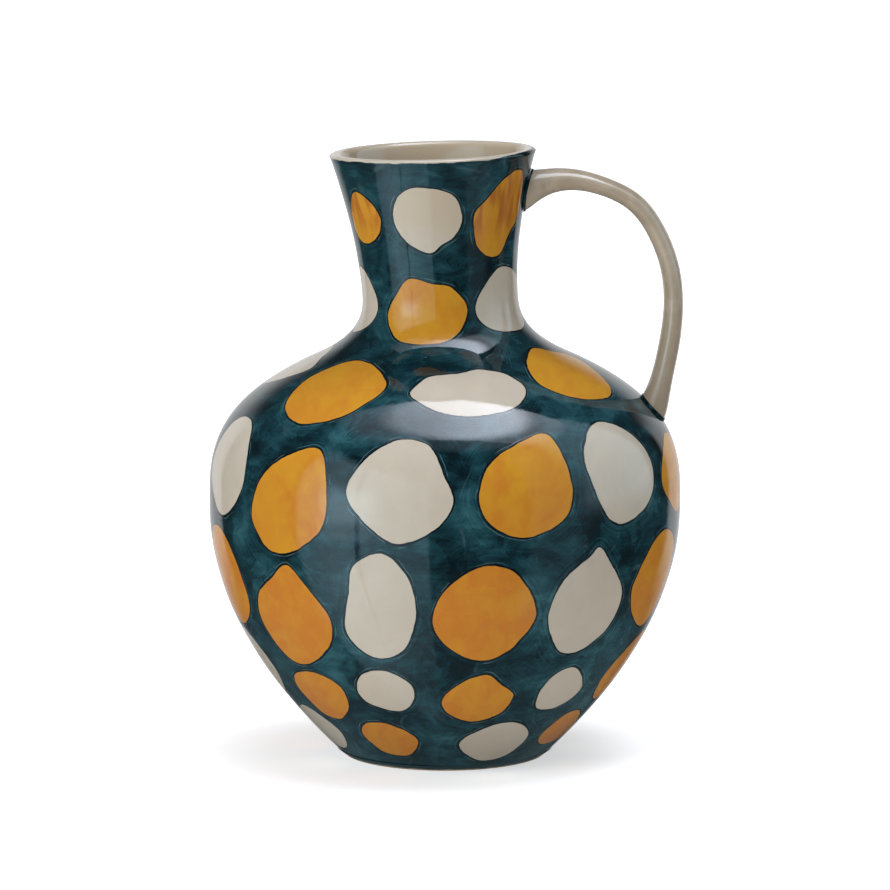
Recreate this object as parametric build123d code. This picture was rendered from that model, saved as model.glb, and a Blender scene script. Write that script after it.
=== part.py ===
from build123d import *
from math import cos, radians, sin
import os

# Hand-thrown stoneware pitcher. Millimetres, +Z up, pouring side towards -X, handle in the
# plane Y = 0 towards +X. Origin: centre of the foot, on the surface the pitcher stands on.

# Overall sizes
belly_radius = 117.0      # widest outer radius of the thrown belly
rim_height = 300.4        # height of the rim's centre above the table
wall = 6.0                # thickness of the belly wall

# Foot: a trimmed ring of bare clay with a shallow recess inside it
foot_radius = 50.0        # outer radius of the standing face
foot_top_radius = 53.8    # the bevel runs out to this radius, where the glaze starts
foot_height = 3.0
foot_width = 11.0         # radial width of the standing face
foot_edge = 0.8           # worn rounding of the ring's two lower edges
recess_bevel = 1.5        # the ring's inner face leans in by this much toward the floor

# Belly
widest_height = 125.0     # height of the widest point
seam_height = 198.0       # where the separately thrown neck is joined on
seam_radius = 65.8
shoulder_power = 3.1      # larger is a rounder, later shoulder
floor_thickness = 7.0     # floor of the belly, above the recess
floor_radius = 46.0       # inner radius at floor level
floor_corner = 14.0       # rounding of the inner corner at the floor
seam_slant = 2.2          # level cut through the wall at the seam, as a multiple of the wall

# Neck: a leaning collar, waisted low down and flaring to the rim
waist_radius = 38.6
waist_height = 231.0
rim_radius = 51.2
neck_wall = 5.6
rim_wall = 6.4
neck_lean = 6.0           # the rim's centre stands this far towards -X
rim_tilt = 1.8            # degrees, lower on the pouring side
rim_rounding = 2.0
rim_trim = 3.0            # clay thrown above the rim, then cut off along its tilt
collar_power = 2.8        # larger is a sharper sweep from the seam into the waist
flare_power = 1.7         # larger is a later, sharper flare to the rim
lean_power = 1.25         # above 1 the lean is strongest low on the neck

# Handle: an oval strap pulled from the neck to the shoulder
handle_overhang = 0.4     # how far its outer face reaches beyond the belly's widest radius
handle_width = 17.5       # across, along Y
handle_thickness = 9.4
root_width = 22.0
root_thickness = 21.0     # full swell of the strap's ends, as pressed into the wall
upper_root_share = 0.85   # part of that swell left where the strap meets the neck
lower_root_share = 0.71   # and where it meets the shoulder
root_overrun = 9.0        # the strap runs this far into each wall before it is trimmed to it
handle_drop = 18.6        # centre of the upper root below the rim
handle_crest = 4.1        # rise of the strap's centreline above its upper root
landing_share = 0.655     # lower root, as a share of the way up the shoulder
landing_sink = 0.6        # centre of the lower root inside the wall's surface
landing_lean = 38.0       # degrees from vertical of the strap's end inside the shoulder
spring_rise = 0.6         # the strap leaves the neck climbing: up this much each side of the wall
spring_stub = 1.0         # and keeps its full swell this far out of the wall
joint_thickness = 1.1     # slip and scored clay between each root and the wall
joint_margin = 0.5        # how far each joint stands out all round its root
joint_slant = 1.4         # level offset of the shoulder that gives the joint its full thickness

belly_foot = foot_height
floor_height = foot_height + floor_thickness
seam_inner = seam_radius - wall * seam_slant
tolerance = 0.01          # for picking edges by their place


def between(low, high, share):
    return low + (high - low) * share


def belly_curve(z, low, low_radius, widest, top_radius):
    """Radius at height z: a parabola below the widest point and a power curve above it."""
    if z < widest_height:
        return widest - (widest - low_radius) * ((widest_height - z) / (widest_height - low)) ** 2
    rise = (z - widest_height) / (seam_height - widest_height)
    return widest - (widest - top_radius) * rise**shoulder_power


def outer_radius(z):
    return belly_curve(z, belly_foot, foot_top_radius, belly_radius, seam_radius)


def inner_radius(z):
    return belly_curve(z, floor_height, floor_radius, belly_radius - wall, seam_inner)


def neck_curve(z, seam, waist, rim):
    """Radius at height z: steep just above the seam, then a slow flare from waist to rim."""
    if z < waist_height:
        return waist + (seam - waist) * ((waist_height - z) / (waist_height - seam_height)) ** collar_power
    return waist + (rim - waist) * ((z - waist_height) / (rim_height - waist_height)) ** flare_power


def neck_centre(z):
    """X of the leaning neck's centre at height z."""
    share = min((z - seam_height) / (rim_height - seam_height), 1.0)
    return -neck_lean * (1 - (1 - share) ** lean_power)


def revolved(outline):
    return revolve(make_face(outline), Axis.Z)


# ---- belly ----
lower_steps = [0, 0.3, 0.6, 0.85, 1]
upper_steps = [0.3, 0.55, 0.75, 0.9, 1]


def belly_line(radius, low, extra=0.0):
    heights = [between(low, widest_height, s) for s in lower_steps]
    heights += [between(widest_height, seam_height, s) for s in upper_steps]
    return Spline([(radius(z) + extra, 0, z) for z in heights])


outside = belly_line(outer_radius, belly_foot)
inside = belly_line(inner_radius, floor_height)
section = make_face([
    outside,
    Line(outside @ 1, inside @ 1),
    inside,
    Line(inside @ 0, (0, 0, floor_height)),
    Line((0, 0, floor_height), (0, 0, belly_foot)),
    Line((0, 0, belly_foot), outside @ 0),
])
belly = revolve(section, Axis.Z)
floor_edge = belly.edges().filter_by(GeomType.CIRCLE).filter_by(
    lambda e: abs(e.center().Z - floor_height) < tolerance and abs(e.radius - floor_radius) < tolerance)
belly = fillet(floor_edge, floor_corner)

# ---- foot ring ----
foot_outline = Polyline(
    (foot_radius - foot_width, 0, 0),
    (foot_radius, 0, 0),
    (foot_top_radius, 0, foot_height),
    (foot_radius - foot_width - recess_bevel, 0, foot_height),
    close=True,
)
foot_ring = revolved(foot_outline)
foot_ring = fillet(foot_ring.edges().filter_by(lambda e: abs(e.center().Z) < tolerance), foot_edge)

# ---- neck ----
neck_top = rim_height + rim_radius * sin(radians(rim_tilt)) + rim_trim
low_steps = [0, 0.08, 0.18, 0.32, 0.5, 0.72, 1]
high_steps = [0.25, 0.5, 0.75, 1]


def neck_solid(seam, waist, rim, extra=0.0):
    heights = [between(seam_height, waist_height, s) for s in low_steps]
    heights += [between(waist_height, neck_top, s) for s in high_steps]
    rings = [
        Pos(neck_centre(z), 0, z) * Circle(neck_curve(z, seam, waist, rim) + extra)
        for z in heights
    ]
    return loft(rings)


neck_full = neck_solid(seam_radius, waist_radius, rim_radius)
neck_bore = neck_solid(seam_inner, waist_radius - neck_wall, rim_radius - rim_wall)
rim_cut = (
    Pos(-neck_lean, 0, rim_height)
    * Rot(0, -rim_tilt, 0)
    * Box(4 * rim_radius, 4 * rim_radius, rim_radius, align=(Align.CENTER, Align.CENTER, Align.MIN))
)
neck = neck_full - neck_bore - rim_cut
neck = fillet(neck.edges().filter_by(lambda e: e.center().Z > rim_height - rim_wall), rim_rounding)

# ---- handle ----
reach = belly_radius + handle_overhang - handle_thickness / 2
spring_z = rim_height - handle_drop
spring_x = neck_centre(spring_z) + neck_curve(spring_z, seam_radius, waist_radius, rim_radius)
landing_z = between(widest_height, seam_height, landing_share)
landing_x = outer_radius(landing_z)
span = reach - spring_x
drop = spring_z - landing_z
tuck = reach - landing_x
root_x = landing_x - landing_sink
end_angle = radians(landing_lean)
upper_root = root_thickness * upper_root_share
lower_root = root_thickness * lower_root_share

# centreline stations: x, z, thickness, width
stations = [
    (spring_x - root_overrun, spring_z - spring_rise, upper_root, root_width),
    (spring_x + spring_stub, spring_z + spring_rise, upper_root, root_width),
    (spring_x + span * 0.10, spring_z + handle_crest * 0.60,
     between(handle_thickness, root_thickness, 0.38), between(handle_width, root_width, 0.7)),
    (spring_x + span * 0.17, spring_z + handle_crest * 0.87,
     between(handle_thickness, root_thickness, 0.24), between(handle_width, root_width, 0.4)),
    (spring_x + span * 0.30, spring_z + handle_crest,
     between(handle_thickness, root_thickness, 0.10), between(handle_width, root_width, 0.1)),
    (spring_x + span * 0.52, spring_z + drop * 0.006, handle_thickness * 0.98, handle_width),
    (spring_x + span * 0.73, spring_z - drop * 0.067, handle_thickness * 0.98, handle_width),
    (spring_x + span * 0.89, spring_z - drop * 0.210, handle_thickness * 0.98, handle_width),
    (spring_x + span * 0.98, spring_z - drop * 0.380, handle_thickness, handle_width),
    (reach, spring_z - drop * 0.535, handle_thickness * 1.03, handle_width),
    (reach - tuck * 0.29, spring_z - drop * 0.750, handle_thickness * 1.10, handle_width),
    (reach - tuck * 0.70, spring_z - drop * 0.905, handle_thickness * 1.24,
     between(handle_width, root_width, 0.4)),
    (root_x, landing_z, lower_root, root_width),
    (root_x - root_overrun * sin(end_angle), landing_z - root_overrun * cos(end_angle),
     lower_root, root_width),
]
path = Spline([(x, 0, z) for x, z, _, _ in stations])


def strap_plane(x, z):
    """Section plane square to the centreline, with its local X across the pitcher (+Y)."""
    share = path.param_at_point((x, 0, z))
    return Plane(origin=(x, 0, z), x_dir=(0, 1, 0), z_dir=path % share)


def strap_solid(extra=0.0):
    """The whole strap, or a sleeve that stands out from it by extra all round."""
    return loft([strap_plane(x, z) * Ellipse(w / 2 + extra, t / 2 + extra) for x, z, t, w in stations])


neck_skin = neck_solid(seam_radius, waist_radius, rim_radius, joint_thickness)
belly_skin_line = belly_line(outer_radius, belly_foot, joint_thickness * joint_slant)
belly_skin = revolved([
    belly_skin_line,
    Line(belly_skin_line @ 1, (0, 0, seam_height)),
    Line((0, 0, seam_height), (0, 0, belly_foot)),
    Line((0, 0, belly_foot), belly_skin_line @ 0),
])
belly_full = revolved([
    outside,
    Line(outside @ 1, (0, 0, seam_height)),
    Line((0, 0, seam_height), (0, 0, belly_foot)),
    Line((0, 0, belly_foot), outside @ 0),
])
handle = strap_solid() - neck_skin - belly_skin

# ---- joints: pads that follow the wall under each end of the handle ----
sleeve = strap_solid(joint_margin)
upper_handle_joint = (sleeve & neck_skin) - neck_full
lower_handle_joint = (sleeve & belly_skin) - belly_full

nodes = {
    "belly": belly,
    "neck": neck,
    "foot_ring": foot_ring,
    "handle": handle,
    "upper_handle_joint": upper_handle_joint,
    "lower_handle_joint": lower_handle_joint,
}

os.makedirs("parts", exist_ok=True)
for name, solid in nodes.items():
    solid.label = name
    export_step(solid, f"parts/{name}.step")
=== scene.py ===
"""Looks of the hand-painted ceramic pitcher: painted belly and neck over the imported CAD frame."""

import math
import random

import bpy
import numpy as np
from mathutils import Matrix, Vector


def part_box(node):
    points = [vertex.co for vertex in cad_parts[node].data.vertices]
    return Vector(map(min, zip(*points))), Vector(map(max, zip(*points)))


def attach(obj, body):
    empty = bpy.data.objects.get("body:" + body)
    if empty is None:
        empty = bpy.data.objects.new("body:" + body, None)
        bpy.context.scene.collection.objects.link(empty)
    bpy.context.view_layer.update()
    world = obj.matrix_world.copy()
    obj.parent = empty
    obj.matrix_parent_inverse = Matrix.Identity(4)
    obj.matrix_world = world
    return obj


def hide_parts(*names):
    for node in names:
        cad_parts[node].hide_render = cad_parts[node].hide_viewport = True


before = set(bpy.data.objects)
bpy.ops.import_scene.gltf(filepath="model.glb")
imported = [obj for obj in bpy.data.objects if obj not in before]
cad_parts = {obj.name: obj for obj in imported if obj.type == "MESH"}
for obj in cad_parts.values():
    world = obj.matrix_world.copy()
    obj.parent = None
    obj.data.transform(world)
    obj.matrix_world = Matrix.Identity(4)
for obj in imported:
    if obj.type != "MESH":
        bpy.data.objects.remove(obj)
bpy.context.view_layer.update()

MM = 0.001
TAU = 2 * math.pi

# ---------------------------------------------------------------- sizes, in millimetres
belly_low, belly_high = (np.array(c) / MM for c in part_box("belly"))
neck_low, neck_high = (np.array(c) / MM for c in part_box("neck"))
foot_high = np.array(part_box("foot_ring")[1]) / MM

FOOT_Z = belly_low[2]
SEAM_Z = belly_high[2]
WIDEST_Z = 125.0
WAIST_Z = 231.0
RIM_Z = 300.4
FLOOR_Z = 10.0

FOOT_TOP_R = foot_high[1]
SKIN_INSET = 0.1         # the painted belly's radius is this much less than the CAD's at its widest
WIDEST_R = belly_high[1] - SKIN_INSET
SEAM_R = neck_high[1]
WAIST_R = 38.6
RIM_R = 51.2
INNER_FLOOR_R = 46.0
WALL = 6.0
NECK_WALL = 5.6
LIP_WALL = 6.4
SEAM_SLANT = 2.2         # level cut through the wall at the seam, as a multiple of the wall
SEAM_INNER_R = SEAM_R - SEAM_SLANT * WALL
FLOOR_CORNER = 12.0      # the inner wall starts to turn into the floor at this height above it
FLAT_FLOOR_R = INNER_FLOOR_R * 0.72
FLOOR_RINGS = (20.0, 8.0, 0.0)

NECK_LEAN = 6.0
RIM_TILT = math.radians(1.8)
TILT_FROM_Z = 240.0      # the rim's tilt fades out down to this height
LIP_RADIUS = 2.6
LIP_POWER = 0.8          # below 1 the lip's section is a little squarer than half an ellipse

SHOULDER_POWER = 3.1
COLLAR_POWER = 2.8
FLARE_POWER = 1.7
LEAN_POWER = 1.25

COLUMNS = 440            # mesh columns around the vessel
ROW_MM = 1.7             # spacing of the mesh rows on the painted side
INNER_ROW_MM = 4.0
LIP_ROWS = 7
CORNER_ROWS = 6          # rows round the inner corner at the floor
PAINT_REACH = 26.0       # distances to a dot's edge are measured out to here
INSIDE_WALL = -40.0      # what the distance below the lip says all over the inside
PAINT, BARE = 0, 1       # material slots of the painted belly and neck
UP, DOWN = 1, -1


# ---------------------------------------------------------------- shape of the vessel
def body_radius(z, low_z, low_r, widest, top_r):
    below = widest - (widest - low_r) * ((WIDEST_Z - z) / (WIDEST_Z - low_z)) ** 2
    rise = np.clip((z - WIDEST_Z) / (SEAM_Z - WIDEST_Z), 0, None)
    above = widest - (widest - top_r) * rise**SHOULDER_POWER
    return np.where(z < WIDEST_Z, below, above)


def collar_radius(z, seam_r, waist, rim):
    drop = np.clip((WAIST_Z - z) / (WAIST_Z - SEAM_Z), 0, None)
    rise = np.clip((z - WAIST_Z) / (RIM_Z - WAIST_Z), 0, None)
    flare = waist + (rim - waist) * rise**FLARE_POWER
    return np.where(z < WAIST_Z, waist + (seam_r - waist) * drop**COLLAR_POWER, flare)


def outer_radius(z):
    z = np.asarray(z, float)
    body = body_radius(z, FOOT_Z, FOOT_TOP_R, WIDEST_R, SEAM_R)
    return np.where(z < SEAM_Z, body, collar_radius(z, SEAM_R, WAIST_R, RIM_R))


def inner_radius(z):
    z = np.asarray(z, float)
    body = body_radius(z, FLOOR_Z, INNER_FLOOR_R, WIDEST_R - WALL, SEAM_INNER_R)
    collar = collar_radius(z, SEAM_INNER_R, WAIST_R - NECK_WALL, RIM_R - LIP_WALL)
    return np.where(z < SEAM_Z, body, collar)


def centre_x(z):
    share = np.clip((np.asarray(z, float) - SEAM_Z) / (RIM_Z - SEAM_Z), 0, 1)
    return -NECK_LEAN * (1 - (1 - share) ** LEAN_POWER)


fine_z = np.concatenate([np.linspace(FOOT_Z, SEAM_Z, 3000), np.linspace(SEAM_Z, RIM_Z, 2000)[1:]])
fine_r = outer_radius(fine_z)
fine_s = np.concatenate([[0], np.cumsum(np.hypot(np.diff(fine_r), np.diff(fine_z)))])
SEAM_S = float(np.interp(SEAM_Z, fine_z, fine_s))
RIM_S = float(fine_s[-1])


def height_along(s):
    """Height at distance s along the outside wall, measured up from the glaze line at the foot."""
    return np.interp(s, fine_s, fine_z)


def even_steps(start, end, spacing):
    return np.linspace(start, end, max(2, int(abs(end - start) / spacing)) + 1)


def wobble(azimuth, z):
    """Slow unevenness of a hand-thrown wall, always inwards, in millimetres."""
    a = azimuth
    waves = (
        0.16 * np.sin(2 * a + 0.9 + z / 70)
        + 0.10 * np.sin(3 * a - 0.4 - z / 45)
        + 0.05 * np.sin(5 * a + z / 23)
        + 0.05 * np.sin(z / 5.3 + 0.8 * np.sin(a) + 0.5)
    )
    return waves - 0.36


def wall_points(z, radius, azimuth):
    """Rows of points around the leaning axis; azimuth 0 faces the camera, +90 is the handle."""
    z, radius = z[:, None], radius[:, None]
    a = azimuth[None, :]
    r = radius + wobble(a, z)
    x = centre_x(z) + r * np.sin(a)
    y = -r * np.cos(a)
    near_rim = np.clip((z - TILT_FROM_Z) / (RIM_Z - TILT_FROM_Z), 0, None) ** 2
    lift = near_rim * math.tan(RIM_TILT) * (x - centre_x(z))
    return np.stack([x, y, z + lift], -1)


def lip_rows():
    """Rows over the rounded lip: heights, radii, and distance beyond the outer wall's top."""
    outer_r, inner_r = float(outer_radius(RIM_Z)), float(inner_radius(RIM_Z))
    half = (outer_r - inner_r) / 2
    angle = np.linspace(0, math.pi, LIP_ROWS + 2)[1:-1]
    rounded = np.sign(np.cos(angle)) * np.abs(np.cos(angle)) ** LIP_POWER
    radius = (outer_r + inner_r) / 2 + half * rounded
    z = RIM_Z - LIP_RADIUS + LIP_RADIUS * np.sin(angle) ** LIP_POWER
    return z, radius, half * angle


# ---------------------------------------------------------------- hand-painted dots
# Each outline is drawn as (degrees round from the front, millimetres up the wall from the foot).
NECK_DOTS = [
    ("ochre", [(-71, 320), (-65, 331), (-56, 337), (-45, 333), (-38, 323), (-44, 314), (-57, 310),
               (-67, 312)]),
    ("cream", [(-28, 324), (-24, 334), (-14, 340), (-1, 340), (12, 336), (18, 325), (13, 316), (4, 311),
               (-5, 307), (-16, 310), (-25, 316)]),
    ("ochre", [(26, 325), (34, 333), (44, 341), (56, 346), (66, 344), (71, 332), (68, 321), (60, 315),
               (50, 305), (37, 305), (28, 312)]),
    ("cream", [(-97, 281), (-88, 293), (-76, 297), (-62, 292), (-53, 280), (-60, 269), (-78, 263),
               (-90, 267)]),
    ("ochre", [(-42, 277), (-33, 286), (-22, 294), (-6, 292), (9, 290), (20, 280), (15, 271), (5, 264),
               (-8, 261), (-27, 262), (-38, 269)]),
    ("cream", [(26, 280), (34, 289), (48, 298), (66, 297), (82, 291), (90, 281), (82, 270), (66, 266),
               (42, 267), (30, 272)]),
]
SHOULDER_DOTS = [
    ("cream", [(-114, 232), (-102, 247), (-86, 250), (-76, 241), (-69, 232), (-77, 220), (-92, 210),
               (-107, 214)]),
    ("ochre", [(-60, 228), (-54, 242), (-43, 246), (-31, 241), (-22, 227), (-26, 212), (-33, 201),
               (-44, 196), (-54, 203), (-59, 215)]),
    ("cream", [(-12, 224), (-6, 236), (6, 239), (16, 242), (26, 237), (30, 225), (24, 212), (12, 206),
               (1, 207), (-9, 216)]),
    ("ochre", [(37, 231), (43, 245), (57, 254), (71, 250), (85, 240), (78, 226), (69, 213), (60, 209),
               (48, 212), (40, 220)]),
]
BELLY_DOTS = [
    ("cream", [(-82, 166), (-78, 186), (-70, 193), (-62, 187), (-57, 164), (-62, 148), (-70, 142),
               (-78, 152)]),
    ("ochre", [(-53, 149), (-50, 166), (-44, 177), (-35, 184), (-31, 177), (-29, 158), (-31, 143),
               (-39, 132), (-46, 131), (-51, 139)]),
    ("cream", [(-24, 165), (-20, 180), (-12, 191), (-4, 188), (0, 172), (2, 159), (-3, 146), (-12, 140),
               (-21, 153)]),
    ("ochre", [(8, 162), (11, 178), (19, 188), (28, 193), (31, 180), (32, 162), (29, 149), (19, 142),
               (11, 149)]),
    ("cream", [(37, 174), (41, 190), (48, 196), (57, 188), (62, 170), (59, 153), (49, 144), (42, 149)]),
    ("ochre", [(66, 158), (69, 170), (78, 180), (87, 176), (91, 161), (87, 147), (78, 141), (71, 148)]),
    ("ochre", [(-60, 107), (-63, 124), (-70, 135), (-79, 132), (-84, 112), (-80, 91), (-71, 85),
               (-62, 94)]),
    ("ochre", [(-56, 90), (-54, 106), (-47, 117), (-41, 125), (-35, 114), (-30, 98), (-33, 82), (-43, 70),
               (-51, 72)]),
    ("cream", [(-24, 113), (-22, 128), (-15, 135), (-9, 124), (-7, 104), (-11, 84), (-19, 79), (-26, 92)]),
    ("ochre", [(-3, 103), (1, 119), (9, 129), (17, 125), (22, 111), (23, 99), (17, 83), (9, 78), (0, 88)]),
    ("cream", [(27, 105), (30, 120), (37, 130), (40, 134), (44, 125), (50, 108), (48, 90), (40, 79),
               (33, 80), (28, 93)]),
    ("ochre", [(54, 109), (58, 125), (66, 135), (75, 130), (79, 112), (74, 91), (67, 85), (58, 94)]),
]
LOW_DOTS = [
    ("cream", [(-91, 62), (-86, 77), (-75, 82), (-66, 70), (-65, 55), (-73, 43), (-85, 45)]),
    ("ochre", [(-55, 51), (-52, 61), (-42, 65), (-34, 58), (-34, 45), (-41, 34), (-50, 35)]),
    ("cream", [(-28, 57), (-24, 68), (-17, 71), (-10, 63), (-10, 52), (-15, 44), (-25, 48)]),
    ("ochre", [(-1, 52), (4, 63), (12, 69), (17, 62), (22, 54), (19, 42), (10, 37), (2, 42)]),
    ("cream", [(31, 54), (34, 65), (40, 69), (46, 61), (49, 51), (42, 42), (33, 43)]),
    ("ochre", [(59, 56), (64, 71), (74, 80), (83, 73), (86, 58), (77, 42), (64, 41)]),
    ("cream", [(-76, 21), (-70, 33), (-60, 37), (-51, 29), (-48, 19), (-55, 8), (-69, 7)]),
    ("ochre", [(-35, 22), (-31, 32), (-22, 34), (-14, 28), (-11, 20), (-17, 9), (-29, 10)]),
    ("cream", [(6, 18), (12, 29), (24, 35), (34, 27), (36, 17), (29, 6), (16, 5)]),
    ("ochre", [(44, 20), (50, 34), (60, 34), (68, 22), (64, 12), (49, 12)]),
]
# The sides the front doesn't show carry the same rows on: azimuths, height, half width, half height.
BACK_ROWS = [
    ("cream", [130, -105], 324, 21, 16),
    ("ochre", [180], 324, 21, 16),
    ("ochre", [132], 280, 27, 15),
    ("cream", [-156], 280, 27, 15),
    ("cream", [117], 228, 20, 20),
    ("ochre", [166, -144], 228, 20, 21),
    ("cream", [108, 169, -131], 166, 12, 25),
    ("ochre", [139, -161, -102], 164, 12, 24),
    ("cream", [96, 151, -156, -107], 107, 10.3, 25),
    ("ochre", [123, 178, -131], 105, 10.5, 26),
    ("cream", [102, 162, -138], 57, 10.5, 15),
    ("ochre", [132, -168, -111], 55, 11.5, 16),
    ("cream", [97, 177], 21, 14, 14),
    ("ochre", [137, -143, -103], 21, 13, 13),
]


def back_dots():
    """Dots round the sides and back: their outlines wander a little, the same way on every run."""
    rng = random.Random(7)
    dots = []
    for colour, azimuths, height, half_width, half_height in BACK_ROWS:
        for azimuth in azimuths:
            turn = rng.uniform(0, TAU)
            spokes = rng.choice([7, 8, 9])
            tilt = rng.uniform(-0.15, 0.15)
            outline = []
            for k in range(spokes):
                a = turn - TAU * k / spokes
                reach = rng.uniform(0.90, 1.09)
                u, v = reach * math.cos(a), reach * math.sin(a)
                outline.append((azimuth + half_width * (u + tilt * v), height + half_height * v))
            dots.append((colour, outline))
    return dots


def closed_curve(points, steps=9):
    """A smooth closed line through given points."""
    p = np.array(points, float)
    before, after, beyond = np.roll(p, 1, 0), np.roll(p, -1, 0), np.roll(p, -2, 0)
    line = []
    for t in np.arange(steps) / steps:
        line.append(0.5 * (2 * p + (after - before) * t + (2 * before - 5 * p + 4 * after - beyond) * t**2
                           + (3 * p - before - 3 * after + beyond) * t**3))
    return np.stack(line, 1).reshape(-1, 2)


def signed_distance(u, v, line):
    """Distance from points to a closed line, negative inside it."""
    best = np.full(u.shape, 1e9)
    inside = np.zeros(u.shape, bool)
    for (u0, v0), (u1, v1) in zip(line, np.roll(line, -1, 0)):
        du, dv = u1 - u0, v1 - v0
        t = np.clip(((u - u0) * du + (v - v0) * dv) / max(du * du + dv * dv, 1e-12), 0, 1)
        best = np.minimum(best, np.hypot(u - u0 - t * du, v - v0 - t * dv))
        if abs(dv) > 1e-12:
            crosses = ((v0 > v) != (v1 > v)) & (u < u0 + (v - v0) * du / dv)
            inside ^= crosses
    return np.where(inside, -best, best)


def paint_fields(s, azimuth):
    """For each painted point: distance to the nearest dot's edge, whether it is ochre, and its seed."""
    rng = random.Random(3)
    radius = outer_radius(height_along(s))[:, None]
    edge = np.full((len(s), len(azimuth)), PAINT_REACH)
    ochre = np.zeros_like(edge)
    seed = np.zeros_like(edge)
    for colour, outline in NECK_DOTS + SHOULDER_DOTS + BELLY_DOTS + LOW_DOTS + back_dots():
        line = closed_curve(outline)
        mid_az, mid_s = (line.max(0) + line.min(0)) / 2
        line_radius = outer_radius(height_along(line[:, 1]))
        local = np.stack([line_radius * np.radians(line[:, 0] - mid_az), line[:, 1] - mid_s], -1)
        turn = (np.degrees(azimuth) - mid_az + 180) % 360 - 180
        rows = np.abs(s - mid_s) < np.abs(local[:, 1]).max() + PAINT_REACH
        u = radius[rows] * np.radians(turn)[None, :]
        v = np.broadcast_to((s[rows] - mid_s)[:, None], u.shape)
        near = np.abs(u) < np.abs(local[:, 0]).max() + PAINT_REACH
        distance = np.full(u.shape, 1e9)
        distance[near] = signed_distance(u[near], v[near], local)
        closer = distance < edge[rows]
        value = rng.random()
        for field, new in ((edge, distance), (ochre, float(colour == "ochre")), (seed, value)):
            part = field[rows]
            part[closer] = new[closer] if isinstance(new, np.ndarray) else new
            field[rows] = part
    return edge, ochre, seed


# ---------------------------------------------------------------- meshes
def grid_normals(points):
    """Smooth normals of a skin given as rows of points, pointing out of the clay."""
    around = np.roll(points, -1, 1) - np.roll(points, 1, 1)
    along = np.gradient(points, axis=0)
    normal = np.cross(around, along)
    return normal / np.maximum(np.linalg.norm(normal, axis=-1, keepdims=True), 1e-12)


def build_skin(name, bands, materials):
    """One closed mesh from bands of rows. Neighbouring bands share their first and last rows' places.

    A band is (points, normals, fields, material index); points are rows by columns, in millimetres.
    A row whose points all coincide becomes a single pole.
    """
    vertices, corner_normals, faces, face_material, row_ids = [], [], [], [], {}
    fields = {}

    def row_of(points, values):
        key = tuple(np.round(points[:2].ravel(), 4))
        if key in row_ids:
            return row_ids[key]
        start = len(vertices)
        pole = np.ptp(points, axis=0).max() < 1e-6
        kept = points[:1] if pole else points
        vertices.extend(kept.tolist())
        for field, value in values.items():
            spread = np.broadcast_to(value, (len(points),))[: len(kept)]
            fields.setdefault(field, []).extend(spread.tolist())
        ids = np.full(len(points), start) if pole else start + np.arange(len(points))
        row_ids[key] = ids
        return ids

    for points, normals, values, material in bands:
        rows = [row_of(p, {k: f[i] for k, f in values.items()}) for i, p in enumerate(points)]
        count = points.shape[1]
        for i in range(len(rows) - 1):
            low, high = rows[i], rows[i + 1]
            n_low, n_high = normals[i], normals[i + 1]
            for j in range(count):
                k = (j + 1) % count
                loop = [(low[j], n_low[j]), (low[k], n_low[k])]
                loop += [(high[k], n_high[k]), (high[j], n_high[j])]
                if low[j] == low[k]:
                    loop.pop(1)
                if high[j] == high[k]:
                    loop.pop(-1)
                faces.append([int(v) for v, _ in loop])
                corner_normals.extend(tuple(n) for _, n in loop)
                face_material.append(material)

    mesh = bpy.data.meshes.new(name)
    mesh.from_pydata([tuple(MM * c for c in v) for v in vertices], [], faces)
    mesh.polygons.foreach_set("use_smooth", [True] * len(faces))
    mesh.polygons.foreach_set("material_index", face_material)
    for field, values in fields.items():
        mesh.attributes.new(field, "FLOAT", "POINT").data.foreach_set("value", values)
    for material in materials:
        mesh.materials.append(material)
    mesh.update()
    mesh.normals_split_custom_set(corner_normals)
    piece = bpy.data.objects.new(name, mesh)
    bpy.context.collection.objects.link(piece)
    return piece


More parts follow.
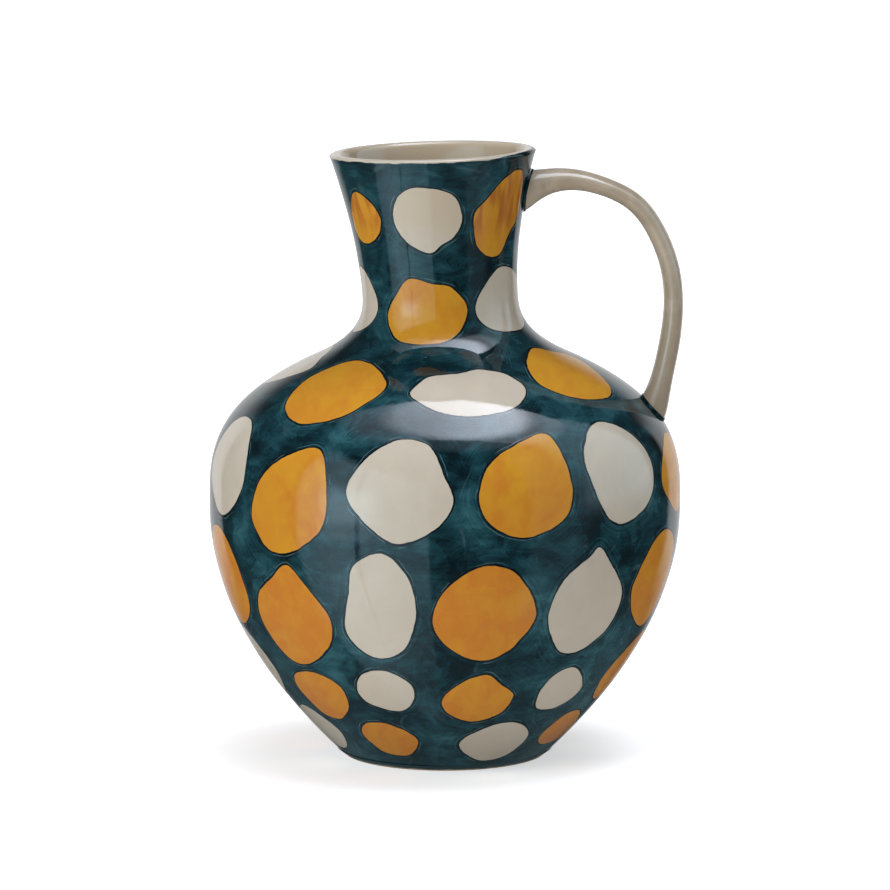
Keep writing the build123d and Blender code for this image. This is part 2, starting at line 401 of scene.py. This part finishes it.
def vessel_rows():
    """Rows of the whole skin from the foot up the outside, over the lip and down the inside."""
    azimuth = TAU * np.arange(COLUMNS) / COLUMNS
    wall_top_s = float(np.interp(RIM_Z - LIP_RADIUS, fine_z, fine_s))
    body_s = even_steps(0, SEAM_S, ROW_MM)
    neck_s = even_steps(SEAM_S, wall_top_s, ROW_MM)[1:]
    lip_z, lip_r, lip_beyond = lip_rows()
    outer_s = np.concatenate([body_s, neck_s])
    outer_z = height_along(outer_s)

    neck_in_z = even_steps(RIM_Z - LIP_RADIUS, SEAM_Z, INNER_ROW_MM)
    corner_z = FLOOR_Z + FLOOR_CORNER
    body_in_z = even_steps(SEAM_Z, corner_z, INNER_ROW_MM)[1:]
    t = np.linspace(0, 1, CORNER_ROWS + 1)[1:]
    bend_start = (float(inner_radius(corner_z)), corner_z)
    bend_end = (FLAT_FLOOR_R, FLOOR_Z)
    bend_r = (1 - t)**2 * bend_start[0] + 2 * t * (1 - t) * INNER_FLOOR_R + t**2 * bend_end[0]
    bend_z = (1 - t)**2 * bend_start[1] + 2 * t * (1 - t) * FLOOR_Z + t**2 * bend_end[1]
    floor_z = np.full(len(FLOOR_RINGS), FLOOR_Z)

    z = np.concatenate([outer_z, lip_z, neck_in_z, body_in_z, bend_z, floor_z])
    radius = np.concatenate([outer_radius(outer_z), lip_r, inner_radius(neck_in_z),
                             inner_radius(body_in_z), bend_r, FLOOR_RINGS])
    points = wall_points(z, radius, azimuth)
    normals = grid_normals(points)

    edge, ochre, seed = paint_fields(outer_s, azimuth)
    rows, inner_rows = len(outer_s), len(z) - len(outer_s)
    inside = np.full(inner_rows - len(lip_z), INSIDE_WALL)
    below_lip = np.concatenate([wall_top_s - outer_s, -lip_beyond, inside])
    spare = ((0, inner_rows), (0, 0))
    values = {
        "edge_mm": np.pad(edge, spare, constant_values=PAINT_REACH),
        "ochre": np.pad(ochre, spare),
        "seed": np.pad(seed, spare),
        "below_lip_mm": np.broadcast_to(below_lip[:, None], (len(z), COLUMNS)),
    }
    seam_out = len(body_s) - 1
    seam_in = rows + len(lip_z) + len(neck_in_z) - 1
    return points, normals, values, seam_out, seam_in


def band(points, normals, values, start, stop):
    """The painted rows from start to stop."""
    rows = slice(start, stop + 1)
    return points[rows], normals[rows], {k: v[rows] for k, v in values.items()}, PAINT


def flat_band(rows, facing, values, picks):
    """A level ring of bare clay between rows of points, facing up or down."""
    points = np.stack(rows)
    normals = np.zeros_like(points)
    normals[..., 2] = facing
    return points, normals, {k: v[picks] for k, v in values.items()}, BARE


def make_vessel(painted, clay):
    """The painted belly and neck, each closed, meeting at the seam."""
    points, normals, values, seam_out, seam_in = vessel_rows()
    last = len(points) - 1
    middle = np.zeros_like(points[0]) + (0, 0, FOOT_Z)
    belly = build_skin("painted_belly", [
        flat_band([middle, points[0]], DOWN, values, [0, 0]),
        band(points, normals, values, 0, seam_out),
        flat_band([points[seam_out], points[seam_in]], UP, values, [seam_out, seam_in]),
        band(points, normals, values, seam_in, last),
    ], [painted, clay])
    neck = build_skin("painted_neck", [
        band(points, normals, values, seam_out, seam_in),
        flat_band([points[seam_in], points[seam_out]], DOWN, values, [seam_in, seam_out]),
    ], [painted, clay])
    return belly, neck


# ---------------------------------------------------------------- node graphs
class Graph:
    """Short names for the shader nodes used here."""

    def __init__(self, tree):
        self.tree = tree
        tree.nodes.clear()

    def node(self, kind, inputs=(), **settings):
        node = self.tree.nodes.new(kind)
        for name, value in settings.items():
            setattr(node, name, value)
        for name, value in dict(inputs).items():
            self.feed(node.inputs[name], value)
        return node

    def feed(self, socket, value):
        if isinstance(value, bpy.types.NodeSocket):
            self.tree.links.new(value, socket)
        else:
            socket.default_value = value

    def math(self, operation, a, b=0.0, c=0.0, clamp=False):
        node = self.node("ShaderNodeMath", operation=operation, use_clamp=clamp)
        for socket, value in zip(node.inputs, (a, b, c)):
            self.feed(socket, value)
        return node.outputs[0]

    def plus(self, a, b, clamp=False):
        return self.math("ADD", a, b, clamp=clamp)

    def times(self, *values):
        product = values[0]
        for value in values[1:]:
            product = self.math("MULTIPLY", product, value)
        return product

    def scaled(self, value, factor, base, clamp=False):
        """value times factor, plus base."""
        return self.math("MULTIPLY_ADD", value, factor, base, clamp)

    def xyz(self, vector):
        return self.node("ShaderNodeSeparateXYZ", {"Vector": vector}).outputs

    def field(self, name):
        node = self.node("ShaderNodeAttribute", attribute_name=name, attribute_type="GEOMETRY")
        return node.outputs["Fac"]

    def step(self, value, start, end, low=0.0, high=1.0):
        """A smooth ramp from low at start to high at end; start may be above end."""
        inputs = {"Value": value, "From Min": start, "From Max": end, "To Min": low, "To Max": high}
        return self.node("ShaderNodeMapRange", inputs, interpolation_type="SMOOTHSTEP").outputs[0]

    def noise(self, vector, size_mm, detail=2.0, rough=0.5, distort=0.0, w=None):
        """Noise with marks about size_mm wide; w picks another slice of it."""
        inputs = {"Vector": vector, "Scale": 1 / (size_mm * MM), "Detail": detail,
                  "Roughness": rough, "Distortion": distort}
        if w is not None:
            inputs["W"] = w
        dimensions = "3D" if w is None else "4D"
        return self.node("ShaderNodeTexNoise", inputs, noise_dimensions=dimensions).outputs[0]

    def mix(self, factor, a, b):
        node = self.node("ShaderNodeMix", data_type="RGBA")
        for socket, value in zip((node.inputs[0], node.inputs[6], node.inputs[7]), (factor, a, b)):
            self.feed(socket, value)
        return node.outputs[2]

    def ramp(self, value, stops):
        node = self.node("ShaderNodeValToRGB", {"Fac": value})
        elements = node.color_ramp.elements
        while len(elements) < len(stops):
            elements.new(0.5)
        for element, (place, colour) in zip(elements, stops):
            element.position = place
            element.color = rgb(colour)
        return node.outputs[0]


def rgb(colour):
    return (*colour, 1.0)


def new_material(name):
    material = bpy.data.materials.new(name)
    material.use_nodes = True
    graph = Graph(material.node_tree)
    place = graph.node("ShaderNodeTexCoord").outputs["Object"]
    return material, graph, place


def finish_material(graph, colour, roughness, bump_height, bump_mm):
    bump = graph.node("ShaderNodeBump", {
        "Height": bump_height, "Distance": bump_mm * MM, "Strength": 1.0})
    shader = graph.node("ShaderNodeBsdfPrincipled", {
        "Base Color": colour, "Roughness": roughness, "IOR": 1.5, "Normal": bump.outputs[0]})
    output = graph.node("ShaderNodeOutputMaterial")
    graph.tree.links.new(shader.outputs[0], output.inputs[0])


# ---------------------------------------------------------------- glaze colours
TEAL_DEEP = (0.0022, 0.0085, 0.0105)
TEAL_DARK = (0.0046, 0.0215, 0.0265)
TEAL = (0.0100, 0.0450, 0.0540)
TEAL_THIN = (0.0330, 0.1080, 0.1190)
PALE_LINE = (0.095, 0.160, 0.165)
LINE = (0.0016, 0.0050, 0.0065)
CREAM = (0.556, 0.462, 0.353)
# darker cream: tone that differs from dot to dot, and painted shade low down
CREAM_SHADE = (0.512, 0.428, 0.326)
# darker, warmer cream: painted shade down the inside and on the neck's upper dots
CREAM_PAINTED_SHADE = (0.500, 0.390, 0.265)
OCHRE = (0.590, 0.268, 0.021)
# deeper ochre: tone that differs from dot to dot, and painted shade low down
OCHRE_DEEP = (0.530, 0.176, 0.020)
RUST = (0.350, 0.088, 0.018)
PINHOLE = (0.16, 0.17, 0.16)
STRAP = (0.495, 0.390, 0.284)
# darker strap cream: its cloudiness, and painted shade low down
STRAP_SHADE = (0.385, 0.296, 0.203)
STRAP_SPECK = (0.30, 0.25, 0.19)
CLAY_DARK = (0.30, 0.21, 0.13)
CLAY = (0.420, 0.300, 0.190)
CLAY_PALE = (0.50, 0.38, 0.26)

# Heights and places, in millimetres, between which a glaze or its painted shade changes
PAINTED_SHADE_LOW_TO_SHOULDER = (60, 210)     # painted light and shade: dots darker low down, lighter and more golden up to here
TOP_ROW = (258, 272)                 # painted shade on the neck's upper cream dots, and rust streaks in its ochre ones
LIP_BESIDE_HANDLE = (20, 42)         # toward the handle the teal climbs over the lip
TEAL_OVER_LIP = 3.0
# painted shade: the strap darkens between these heights
STRAP_PAINTED_SHADE_SPAN = (250, 180)
FOOT_GLAZE_Z = 0.9                   # teal on the foot ring stops about this high
NO_GLAZE_Z = 99.0                    # above the whole of a face of bare clay


def between_mm(graph, value, span, low=0.0, high=1.0):
    """A smooth ramp over a span of places given in millimetres."""
    return graph.step(value, span[0] * MM, span[1] * MM, low, high)


def brushed(graph, place, sizes_mm):
    """Coordinates that stretch a 1 mm noise into marks of the given size along x, y and z."""
    scale = tuple(1 / size for size in sizes_mm)
    return graph.node("ShaderNodeMapping", {"Vector": place, "Scale": scale}).outputs[0]


def teal_wash(graph, place, edge):
    """Brushed teal: marks that follow the dots' edges, over slow pools and overlapping coats."""
    along = graph.noise(place, 60, 3, w=graph.times(edge, 0.26))
    across = graph.noise(brushed(graph, place, (18, 18, 6)), 1, 4, 0.6, 0.5)
    pools = graph.noise(place, 24, 4, 0.55, 0.6)
    first_coat = graph.step(graph.noise(place, 30, 2, 0.5, 0.8), 0.53, 0.56)
    second_coat = graph.step(graph.noise(place, 19, 2, 0.5, 0.8, w=2.3), 0.57, 0.60)
    coats = graph.plus(first_coat, second_coat)
    dry_brush = graph.step(graph.noise(place, 16, 2, w=4.4), 0.44, 0.62)
    bristles = graph.noise(place, 26, 2, w=graph.times(edge, 0.95))
    bristles = graph.times(graph.plus(bristles, -0.5), dry_brush)

    tone = graph.times(pools, 0.48)
    for marks, weight in ((along, 0.32), (across, 0.35), (bristles, 0.42)):
        tone = graph.scaled(marks, weight, tone)
    tone = graph.scaled(coats, -0.05, graph.plus(tone, -0.06))
    wash = graph.ramp(tone, [(0.37, TEAL_DEEP), (0.46, TEAL_DARK), (0.545, TEAL), (0.68, TEAL_THIN)])
    return wash, tone


def outline_mask(graph, place, edge):
    """The thin dark line just outside each dot, 0.45 to 0.95 mm wide."""
    width = graph.step(graph.noise(place, 14, 2), 0.35, 0.65, 0.45, 0.95)
    inner_side = graph.step(edge, -0.20, 0.0)
    outer_side = graph.step(graph.math("SUBTRACT", edge, width), 0.16, 0.0)
    return graph.times(inner_side, outer_side)


def pale_mask(graph, place, edge):
    """Where the wash is thin: a broken line 0.8 to 1.9 mm from each dot, and a few loose wisps."""
    gap_at = graph.step(graph.noise(place, 17, 2, w=3.7), 0.3, 0.7, 0.8, 1.9)
    from_gap = graph.math("ABSOLUTE", graph.math("SUBTRACT", edge, gap_at))
    broken = graph.step(graph.noise(place, 9, 3, w=8.1), 0.46, 0.60)
    gap = graph.times(graph.step(from_gap, 0.30, 0.05), broken)
    contour = graph.math("ABSOLUTE", graph.plus(graph.noise(place, 42, 1, 0.4, w=5.2), -0.5))
    scattered = graph.step(graph.noise(place, 10, 3, w=6.4), 0.50, 0.68)
    wisp = graph.times(graph.step(contour, 0.010, 0.001), scattered)
    return graph.math("MAXIMUM", graph.times(gap, 0.75), graph.times(wisp, 0.30))


def dot_colour(graph, place, height):
    """Brushed cream or ochre that varies a little from one dot to the next."""
    ochre, seed = graph.field("ochre"), graph.field("seed")
    strokes = graph.noise(brushed(graph, place, (9, 30, 12)), 1, 4, 0.6, 0.6)
    second_coat = graph.step(graph.noise(place, 26, 2, 0.5, 0.5), 0.50, 0.53)
    shade = graph.scaled(second_coat, 0.22, graph.step(strokes, 0.15, 0.95))
    # painted light and shade: the dots darken low down and lighten, more golden, toward the shoulder
    shade = graph.plus(shade, between_mm(graph, height, PAINTED_SHADE_LOW_TO_SHOULDER, 0.15, -0.40))
    shade = graph.scaled(seed, 0.25, shade, clamp=True)
    top_row = between_mm(graph, height, TOP_ROW)
    streaks = graph.step(graph.noise(brushed(graph, place, (4, 4, 60)), 1, 1), 0.38, 0.66, 0.15, 1.0)

    cream = graph.mix(shade, rgb(CREAM), rgb(CREAM_SHADE))
    # painted shade: the cream of the neck's upper dots is darkened
    cream = graph.mix(graph.times(top_row, 0.7), cream, rgb(CREAM_PAINTED_SHADE))
    golden = graph.mix(shade, rgb(OCHRE), rgb(OCHRE_DEEP))
    golden = graph.mix(graph.times(top_row, streaks, 0.75), golden, rgb(RUST))
    return graph.mix(graph.step(ochre, 0.45, 0.55), cream, golden)


def rim_glaze(graph, place, aside, colour):
    """Cream over the lip and inside, with a hand-wiped border against the given colour."""
    below_lip = graph.field("below_lip_mm")
    over_the_lip = between_mm(graph, aside, LIP_BESIDE_HANDLE, 0.0, TEAL_OVER_LIP)
    wiped = graph.plus(graph.scaled(graph.noise(place, 8, 3), 2.2, 0.1), over_the_lip)
    on_wall = graph.step(graph.plus(below_lip, wiped), -0.15, 0.15)
    rim = graph.mix(graph.step(graph.noise(place, 12, 2), 0.4, 0.7), rgb(CREAM), rgb(CREAM_SHADE))
    # painted shade: the cream darkens and warms from 4 to 10 mm down the inside
    rim = graph.mix(graph.step(below_lip, -4, -10), rim, rgb(CREAM_PAINTED_SHADE))
    return graph.mix(on_wall, rim, colour)


def pinhole_mask(graph, place):
    """A few tiny pits, one in about every seventh cell of 9 mm."""
    cells = graph.node("ShaderNodeTexVoronoi", {
        "Vector": place, "Scale": 1 / (9 * MM), "Randomness": 1.0})
    draw = graph.node("ShaderNodeSeparateColor", {"Color": cells.outputs["Color"]}).outputs[0]
    rare = graph.math("GREATER_THAN", draw, 0.86)
    return graph.times(graph.step(cells.outputs["Distance"], 0.05, 0.025), rare)


def painted_glaze():
    material, graph, place = new_material("painted_glaze")
    aside, _, height = graph.xyz(place)
    shaky = graph.scaled(graph.noise(place, 9, 3, 0.5), 1.5, -0.75)
    edge = graph.plus(graph.field("edge_mm"), shaky)
    wash, tone = teal_wash(graph, place, edge)
    line = outline_mask(graph, place, edge)
    hole = pinhole_mask(graph, place)

    colour = graph.mix(pale_mask(graph, place, edge), wash, rgb(PALE_LINE))
    colour = graph.mix(graph.times(line, 0.9), colour, rgb(LINE))
    colour = graph.mix(graph.step(edge, -0.02, -0.22), colour, dot_colour(graph, place, height))
    colour = rim_glaze(graph, place, aside, colour)
    colour = graph.mix(graph.times(hole, 0.6), colour, rgb(PINHOLE))

    relief = graph.times(graph.noise(place, 7, 2, 0.4), 0.9)
    for marks, weight in ((graph.noise(place, 2.2, 2), 0.12), (line, 0.35), (hole, -0.9)):
        relief = graph.scaled(marks, weight, relief)
    rough = graph.step(tone, 0.4, 0.6, 0.045, 0.075)
    finish_material(graph, colour, rough, relief, 0.045)
    return material


def cream_glaze():
    """The strap's cream: cloudy, specked, and darker low down as painted shade."""
    material, graph, place = new_material("cream_glaze")
    _, _, height = graph.xyz(place)
    shade = graph.step(graph.noise(place, 18, 4, 0.55, 0.5), 0.35, 0.7)
    # painted shade: the strap darkens from 250 mm down to 180 mm
    shade = graph.plus(shade, between_mm(graph, height, STRAP_PAINTED_SHADE_SPAN), clamp=True)
    colour = graph.mix(shade, rgb(STRAP), rgb(STRAP_SHADE))
    specks = graph.step(graph.noise(place, 1.3, 2), 0.73, 0.78)
    colour = graph.mix(graph.times(specks, 0.25), colour, rgb(STRAP_SPECK))
    rough = graph.step(shade, 0, 1, 0.06, 0.10)
    finish_material(graph, colour, rough, graph.noise(place, 9, 3), 0.10)
    return material


def joint_glaze():
    """Teal pooled round the strap's ends."""
    material, graph, place = new_material("joint_glaze")
    tone = graph.noise(place, 4, 3, 0.6)
    colour = graph.ramp(tone, [(0.35, TEAL_DEEP), (0.6, TEAL_DARK), (0.8, TEAL)])
    rough = graph.step(tone, 0.3, 0.7, 0.06, 0.12)
    finish_material(graph, colour, rough, graph.noise(place, 2.5, 2), 0.12)
    return material


def bare_clay(name, glaze_above_mm):
    """Unglazed clay, with teal glaze running down to a ragged line at the given height."""
    material, graph, place = new_material(name)
    _, _, height = graph.xyz(place)
    grain = graph.noise(place, 0.9, 4, 0.7)
    clay = graph.ramp(grain, [(0.3, CLAY_DARK), (0.55, CLAY), (0.8, CLAY_PALE)])
    ragged = graph.scaled(graph.noise(place, 9, 3), 1.6, -0.8)
    above = graph.plus(graph.math("DIVIDE", height, MM), ragged)
    glazed = graph.step(above, glaze_above_mm - 0.1, glaze_above_mm + 0.1)
    colour = graph.mix(glazed, clay, rgb(TEAL_DARK))
    finish_material(graph, colour, graph.step(glazed, 0, 1, 0.85, 0.08), grain, 0.12)
    return material


# ---------------------------------------------------------------- pieces
def make_pieces():
    belly, neck = make_vessel(painted_glaze(), bare_clay("bare_clay", NO_GLAZE_Z))
    for piece, node in ((belly, "belly"), (neck, "neck")):
        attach(piece, "root")
        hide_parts(node)

    joint = joint_glaze()
    finishes = {
        "handle": cream_glaze(),
        "upper_handle_joint": joint,
        "lower_handle_joint": joint,
        "foot_ring": bare_clay("foot_clay", FOOT_GLAZE_Z),
    }
    for node, material in finishes.items():
        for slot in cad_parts[node].material_slots:
            slot.material = material


# ---------------------------------------------------------------- floor, light and camera
FLOOR_HALF_SIZE = 6.0
FLOOR_COLOUR = (0.80, 0.77, 0.74)
FLOOR_GLOW = 0.20            # evens the light under the belly
FLOOR_GLOW_SEEN = 0.36       # added where the floor itself is looked at, so that it looks white
WHITE = (1.0, 1.0, 1.0)

WINDOW_TINT = (0.67, 0.99, 1.16)
SOFTBOX_TINT = (0.88, 0.96, 1.10)
TABLE_TINT = (0.65, 1.0, 1.10)
DIFFUSE_CUT = 0.75           # the right window lights the paint this much less than it shines in it

KEY_PLACE = (-1.45, -1.5, 1.35)
KEY_AIM = (0.0, 0.0, 0.15)
KEY_COLOUR = (1.0, 0.915, 0.94)
KEY_SIZE = 1.2
KEY_WATTS = 20.0

CAMERA_PLACE = (0.00015, -2.743, 0.5685)
CAMERA_AIM = (0.00015, 0.0, 0.15395)
SENSOR_MM = 36.0
LENS_MM = 226.8


def make_floor():
    mesh = bpy.data.meshes.new("floor")
    half = FLOOR_HALF_SIZE
    corners = [(-half, -half, 0.0), (half, -half, 0.0), (half, half, 0.0), (-half, half, 0.0)]
    mesh.from_pydata(corners, [], [(0, 1, 2, 3)])
    floor = bpy.data.objects.new("floor", mesh)
    bpy.context.collection.objects.link(floor)
    material, graph, _ = new_material("floor_white")
    seen = graph.node("ShaderNodeLightPath").outputs["Is Camera Ray"]
    glow = graph.scaled(seen, FLOOR_GLOW_SEEN, FLOOR_GLOW)
    shader = graph.node("ShaderNodeBsdfPrincipled", {
        "Base Color": rgb(FLOOR_COLOUR), "Roughness": 0.9, "Specular IOR Level": 0.0,
        "Emission Color": rgb(WHITE), "Emission Strength": glow})
    output = graph.node("ShaderNodeOutputMaterial")
    graph.tree.links.new(shader.outputs[0], output.inputs[0])
    mesh.materials.append(material)
    floor.visible_glossy = False


def panel(graph, value, low, high, soft_low, soft_high):
    """1 between low and high, fading over the given softness at each side."""
    rise = graph.step(value, low - soft_low, low + soft_low)
    fall = graph.step(value, high + soft_high, high - soft_high)
    return graph.times(rise, fall)


def left_window(graph, azimuth, elevation):
    """A tall window: its top edge falls toward the front, and it glows at eye level."""
    slope = graph.scaled(azimuth, 0.35, graph.plus(elevation, 21.0))
    shape = graph.times(panel(graph, azimuth, -76, -7, 2, 1), panel(graph, slope, -90, 40, 1, 4))
    rising = graph.step(azimuth, -74, -56, 0.9, 1.6)
    fading = graph.step(azimuth, -56, -10, 1.0, 0.50)
    lower = graph.step(elevation, -30, -46, 1.0, 0.55)
    near_floor = graph.step(elevation, -56, -74, 1.0, 0.35)
    bar = panel(graph, azimuth, -43.6, -41.4, 0.6, 0.6)
    bar = graph.times(bar, panel(graph, elevation, -50, 34, 6, 6))
    window = graph.times(shape, rising, fading, lower, near_floor, graph.scaled(bar, -0.85, 1.0))
    glow = graph.times(panel(graph, azimuth, -60, -34, 7, 9), panel(graph, elevation, -9, 12, 3, 9))
    return graph.scaled(glow, 2.3, window)


def right_window(graph, azimuth, elevation, is_diffuse):
    """A second window, hazy toward the front, that shines in the glaze more than it lights the paint."""
    window = graph.times(panel(graph, azimuth, 72, 121, 9, 2), panel(graph, elevation, -4, 58, 7, 5))
    haze = graph.times(panel(graph, azimuth, 43, 75, 2, 9), panel(graph, elevation, -45, 55, 8, 8))
    both = graph.scaled(haze, 0.25, graph.times(window, 1.20))
    return graph.times(both, graph.scaled(is_diffuse, -DIFFUSE_CUT, 1.0))


def overhead_softbox(graph, x, y, z):
    """A round softbox: brighter toward the right, with crisp front and back edges."""
    over_x, over_y = graph.math("DIVIDE", x, z), graph.math("DIVIDE", y, z)
    aside = graph.math("POWER", graph.math("SUBTRACT", over_x, 0.08), 2.0)
    ahead = graph.math("POWER", graph.math("SUBTRACT", over_y, 0.08), 2.0)
    from_middle = graph.math("SQRT", graph.plus(aside, ahead))
    return graph.times(
        graph.step(over_x, -0.25, 0.35, 4.3, 8.8),
        graph.step(from_middle, 0.28, 0.46, 1.0, 0.22),
        graph.step(from_middle, 0.50, 0.75, 1.0, 0.0),
        graph.step(over_y, -0.32, -0.29, 0.35, 1.0),
        graph.step(over_y, 0.35, 0.32),
        graph.math("GREATER_THAN", z, 0.0),
    )


def room_behind(graph, azimuth, elevation):
    """A pale room, seen in the glaze at grazing angles round both sides."""
    behind = graph.step(graph.math("ABSOLUTE", azimuth), 138, 144)
    return graph.scaled(graph.times(behind, panel(graph, elevation, -17, 18, 6, 8)), 0.68, 0.03)


def make_world():
    """Studio light as a soft pattern of directions, in degrees round from the front and up."""
    world = bpy.data.worlds.new("studio")
    bpy.context.scene.world = world
    world.use_nodes = True
    graph = Graph(world.node_tree)
    x, y, z = graph.xyz(graph.node("ShaderNodeTexCoord").outputs["Generated"])
    azimuth = graph.times(graph.math("ARCTAN2", x, graph.times(y, -1.0)), 180 / math.pi)
    elevation = graph.times(graph.math("ARCSINE", z), 180 / math.pi)
    rays = graph.node("ShaderNodeLightPath").outputs

    right = right_window(graph, azimuth, elevation, rays["Is Diffuse Ray"])
    lights = [
        (graph.plus(left_window(graph, azimuth, elevation), right), WINDOW_TINT),
        (overhead_softbox(graph, x, y, z), SOFTBOX_TINT),
        (room_behind(graph, azimuth, elevation), WHITE),
        (graph.step(elevation, -14, -42, 0.0, 0.16), TABLE_TINT),
    ]
    lit = None
    for strength, colour in lights:
        source = graph.node("ShaderNodeBackground", {"Color": rgb(colour), "Strength": strength})
        if lit is None:
            lit = source
            continue
        both = graph.node("ShaderNodeAddShader")
        graph.tree.links.new(lit.outputs[0], both.inputs[0])
        graph.tree.links.new(source.outputs[0], both.inputs[1])
        lit = both
    plain = graph.node("ShaderNodeBackground", {"Color": rgb(WHITE), "Strength": 1.0})
    either = graph.node("ShaderNodeMixShader", {"Fac": rays["Is Camera Ray"]})
    graph.tree.links.new(lit.outputs[0], either.inputs[1])
    graph.tree.links.new(plain.outputs[0], either.inputs[2])
    output = graph.node("ShaderNodeOutputWorld")
    graph.tree.links.new(either.outputs[0], output.inputs[0])


def put(name, data, place, aim):
    """A light or camera at a place, turned toward a point."""
    thing = bpy.data.objects.new(name, data)
    bpy.context.collection.objects.link(thing)
    thing.location = place
    thing.rotation_euler = (Vector(aim) - Vector(place)).to_track_quat("-Z", "Y").to_euler()
    return thing


def make_key_light():
    """A large soft light from the upper left; it lifts the paint but isn't seen in the glaze."""
    light = bpy.data.lights.new("key", "AREA")
    light.size = KEY_SIZE
    light.energy = KEY_WATTS
    light.color = KEY_COLOUR
    put("key", light, KEY_PLACE, KEY_AIM).visible_glossy = False


def make_camera():
    """A long lens about 2.7 m away, looking slightly down."""
    camera = bpy.data.cameras.new("camera")
    camera.sensor_width = SENSOR_MM
    camera.lens = LENS_MM
    bpy.context.scene.camera = put("camera", camera, CAMERA_PLACE, CAMERA_AIM)


make_pieces()
make_floor()
make_world()
make_key_light()
make_camera()
bpy.context.scene.view_settings.view_transform = "Standard"
